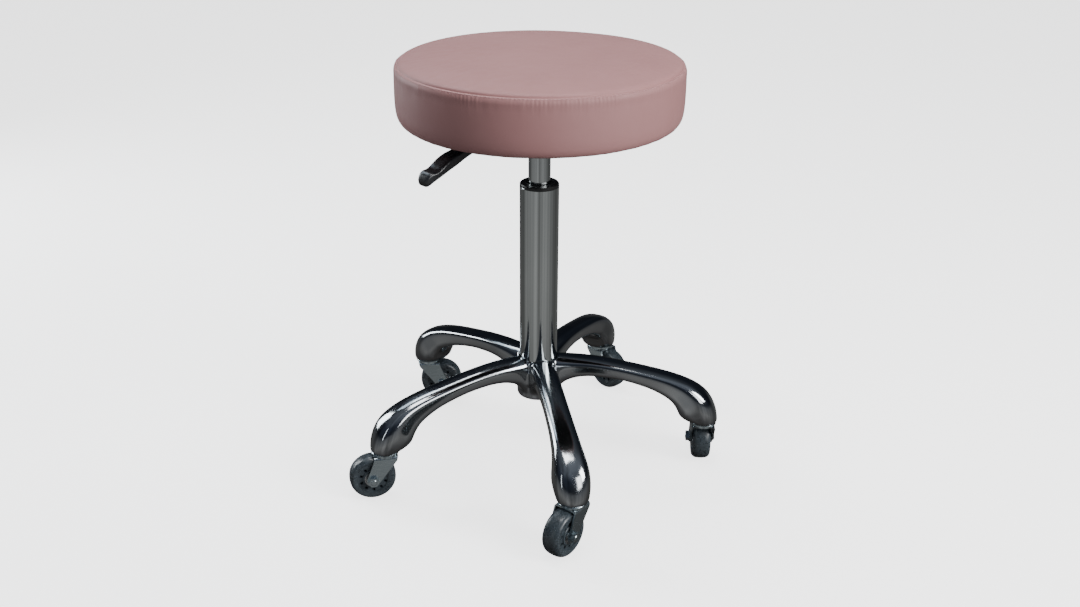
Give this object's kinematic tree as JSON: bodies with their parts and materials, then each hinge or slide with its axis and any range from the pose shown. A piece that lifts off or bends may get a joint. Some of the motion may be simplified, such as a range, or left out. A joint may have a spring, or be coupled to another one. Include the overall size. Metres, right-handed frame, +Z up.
{
  "type": "dentist stool",
  "caption": "Round padded work stool on a five-arm polished base with swivel castors and a gas lift worked by a side lever.",
  "frame": {"origin": "on the floor, on the column axis", "axes": "+Z up along the column; one base arm along -Y, the others every 72 degrees"},
  "size_m": [0.4975, 0.4636, 0.551],
  "materials": {
    "polished_metal": "mirror polished",
    "castor_metal": "bright zinc plate",
    "tread_plastic": "smooth translucent grey polyurethane",
    "hub_plastic": "smooth grey",
    "black_plastic": "fine satin",
    "steel": "ground",
    "black_steel": "black powder coat",
    "damper_rubber": "matt",
    "brass_valve": "turned",
    "plywood": "raw plywood",
    "foam": "open-cell foam",
    "upholstery": "matt dusty-pink leatherette",
    "felt": "black non-woven"
  },
  "bodies": {
    "base": {"star_base": "polished_metal", "column_tube": "polished_metal", "guide_bush": "black_plastic", "damper_ring": "damper_rubber", "bearing_lower_washer": "steel", "bearing_balls": "steel", "castor_stems": "steel", "stem_grip_rings": "steel", "castor_race_caps": "castor_metal", "castor_race_balls": "steel"},
    "spindle": {"piston_rod": "polished_metal", "piston_head": "black_plastic", "retaining_clip": "steel", "bearing_upper_washer": "steel"},
    "seat": {"gas_cylinder": "polished_metal", "rod_guide": "black_plastic", "valve_body": "brass_valve", "mechanism_housing": "black_steel", "mount_plate": "black_steel", "lever_pivot_pin": "steel", "plate_screws": "steel", "t_nuts": "steel", "seat_board": "plywood", "seat_foam": "foam", "seat_cover": "upholstery", "dust_cover": "felt"},
    "lever": {"lever_rod": "black_steel", "lever_grip": "black_plastic"},
    "valve": {"valve_pin": "steel"},
    "castor_1_swivel": {"castor_1_fork": "castor_metal", "castor_1_axle": "castor_metal", "castor_1_nut": "castor_metal"},
    "castor_1_wheel": {"castor_1_tread": "tread_plastic", "castor_1_hub": "hub_plastic", "castor_1_bearings": "steel"},
    "castor_2_swivel": {"castor_2_fork": "castor_metal", "castor_2_axle": "castor_metal", "castor_2_nut": "castor_metal"},
    "castor_2_wheel": {"castor_2_tread": "tread_plastic", "castor_2_hub": "hub_plastic", "castor_2_bearings": "steel"},
    "castor_3_swivel": {"castor_3_fork": "castor_metal", "castor_3_axle": "castor_metal", "castor_3_nut": "castor_metal"},
    "castor_3_wheel": {"castor_3_tread": "tread_plastic", "castor_3_hub": "hub_plastic", "castor_3_bearings": "steel"},
    "castor_4_swivel": {"castor_4_fork": "castor_metal", "castor_4_axle": "castor_metal", "castor_4_nut": "castor_metal"},
    "castor_4_wheel": {"castor_4_tread": "tread_plastic", "castor_4_hub": "hub_plastic", "castor_4_bearings": "steel"},
    "castor_5_swivel": {"castor_5_fork": "castor_metal", "castor_5_axle": "castor_metal", "castor_5_nut": "castor_metal"},
    "castor_5_wheel": {"castor_5_tread": "tread_plastic", "castor_5_hub": "hub_plastic", "castor_5_bearings": "steel"}
  },
  "joints": [
    {"name": "seat_swivel", "type": "hinge", "parent": "base", "child": "spindle", "pos_m": [0, 0, 0.1], "axis": [0, 0, 1], "continuous": true},
    {"name": "seat_lift", "type": "slide", "parent": "spindle", "child": "seat", "axis": [0, 0, 1], "range_m": [-0.03, 0.1]},
    {"name": "lever_lift", "type": "hinge", "parent": "seat", "child": "lever", "pos_m": [-0.02496, -0.01665, 0.4616], "axis": [-0.5548, 0.832, 0], "range_deg": [0, 3.5], "stiffness_Nm_per_rad": 6, "springref_deg": -5.73},
    {"name": "valve_press", "type": "slide", "parent": "seat", "child": "valve", "axis": [0, 0, 1], "range_m": [-0.0019, 0]},
    {"name": "castor_1_turn", "type": "hinge", "parent": "base", "child": "castor_1_swivel", "pos_m": [0, -0.224, 0.062], "axis": [0, 0, 1], "continuous": true},
    {"name": "castor_1_roll", "type": "hinge", "parent": "castor_1_swivel", "child": "castor_1_wheel", "pos_m": [-0.01361, -0.23578, 0.03], "axis": [0.6547, -0.7559, 0], "continuous": true},
    {"name": "castor_2_turn", "type": "hinge", "parent": "base", "child": "castor_2_swivel", "pos_m": [0.21304, -0.06922, 0.062], "axis": [0, 0, 1], "continuous": true},
    {"name": "castor_2_roll", "type": "hinge", "parent": "castor_2_swivel", "child": "castor_2_wheel", "pos_m": [0.21721, -0.05171, 0.03], "axis": [-0.9728, 0.2317, 0], "continuous": true},
    {"name": "castor_3_turn", "type": "hinge", "parent": "base", "child": "castor_3_swivel", "pos_m": [0.13166, 0.18122, 0.062], "axis": [0, 0, 1], "continuous": true},
    {"name": "castor_3_roll", "type": "hinge", "parent": "castor_3_swivel", "child": "castor_3_wheel", "pos_m": [0.14131, 0.16602, 0.03], "axis": [0.8443, 0.5358, 0], "continuous": true},
    {"name": "castor_4_turn", "type": "hinge", "parent": "base", "child": "castor_4_swivel", "pos_m": [-0.13166, 0.18122, 0.062], "axis": [0, 0, 1], "continuous": true},
    {"name": "castor_4_roll", "type": "hinge", "parent": "castor_4_swivel", "child": "castor_4_wheel", "pos_m": [-0.11373, 0.17965, 0.03], "axis": [0.0872, 0.9962, 0], "continuous": true},
    {"name": "castor_5_turn", "type": "hinge", "parent": "base", "child": "castor_5_swivel", "pos_m": [-0.21304, -0.06922, 0.062], "axis": [0, 0, 1], "continuous": true},
    {"name": "castor_5_roll", "type": "hinge", "parent": "castor_5_swivel", "child": "castor_5_wheel", "pos_m": [-0.23103, -0.06985, 0.03], "axis": [0.0349, -0.9994, 0], "continuous": true}
  ],
  "couplings": [
    {"joint": "valve_press", "follows": "lever_lift", "m_per_rad": -0.03}
  ]
}
